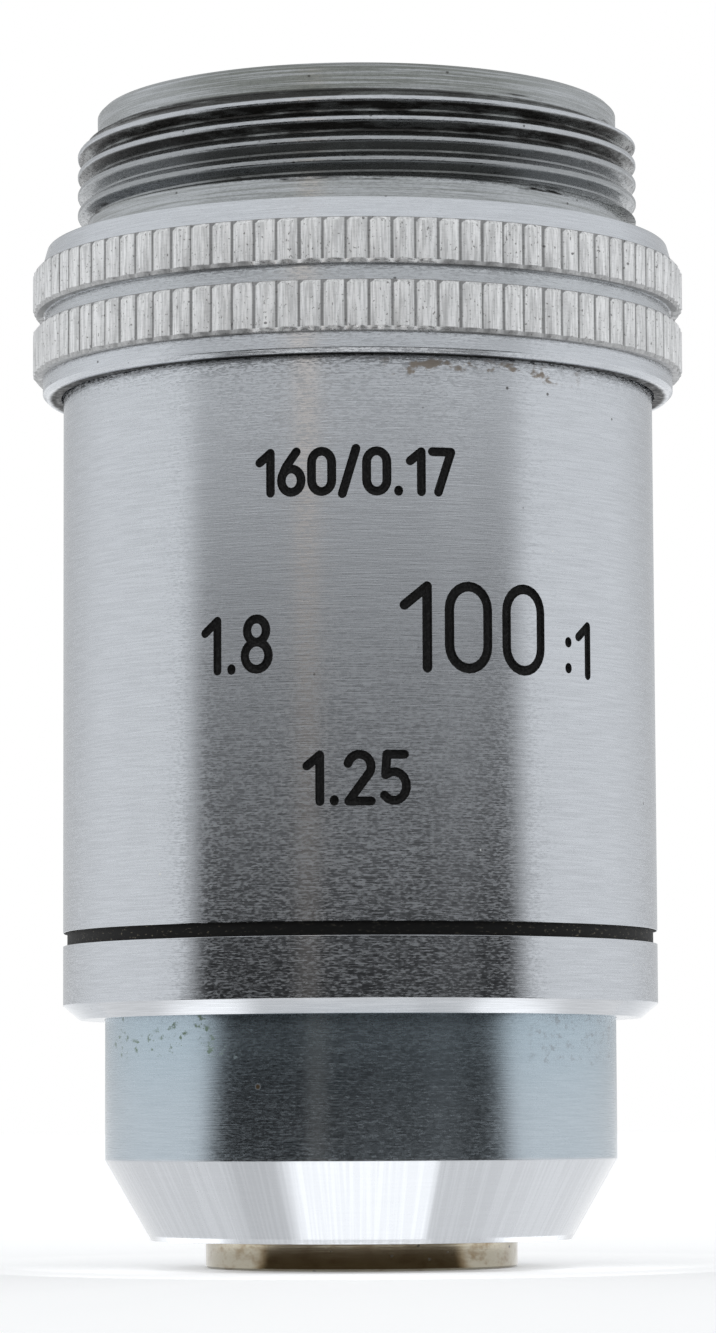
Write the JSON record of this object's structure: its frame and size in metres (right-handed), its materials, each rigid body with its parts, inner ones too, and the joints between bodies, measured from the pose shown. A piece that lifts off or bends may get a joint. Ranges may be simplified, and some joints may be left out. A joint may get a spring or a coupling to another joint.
{
  "type": "microscope objective",
  "caption": "High-power immersion objective with a screw mount, knurled ring, plain sleeve and sprung conical nose that retracts to spare the slide.",
  "frame": {"origin": "centre of the front face of the tip, on the optical axis", "axes": "+Z along the optical axis, from the tip towards the screw mount; X and Y are square to it, with the slot of the guide bush on +Y"},
  "size_m": [0.0234, 0.0234, 0.0415],
  "materials": {
    "satin_chrome": "satin, turned lines",
    "nickel": "dull nickel, stained",
    "brass": "turned",
    "blackened_brass": "matt black",
    "spring_steel": "drawn wire",
    "crown_glass": "polished",
    "flint_glass": "polished",
    "fluorite": "polished"
  },
  "bodies": {
    "mount": {"mount_flange": "satin_chrome", "outer_sleeve": "satin_chrome", "guide_bush": "brass", "return_spring": "spring_steel"},
    "nose": {"nose_barrel": "satin_chrome", "lens_barrel": "blackened_brass", "guide_screw": "spring_steel", "front_cell": "nickel", "front_lens": "crown_glass", "meniscus_lens": "crown_glass", "meniscus_ring": "blackened_brass", "doublet_cell": "brass", "doublet_crown": "crown_glass", "doublet_flint": "flint_glass", "spacer_lower": "brass", "triplet_cell": "brass", "triplet_lower_flint": "flint_glass", "triplet_fluorite": "fluorite", "triplet_upper_flint": "flint_glass", "spacer_upper": "brass", "rear_cell": "brass", "rear_lower_flint": "flint_glass", "rear_fluorite": "fluorite", "rear_upper_flint": "flint_glass", "lock_ring": "blackened_brass", "rear_stop": "blackened_brass"}
  },
  "joints": [
    {"name": "nose_slide", "type": "slide", "parent": "mount", "child": "nose", "axis": [0, 0, 1], "range_m": [0, 0.002], "stiffness_N_per_m": 106, "springref_m": -0.015, "deforming": ["return_spring"]}
  ]
}
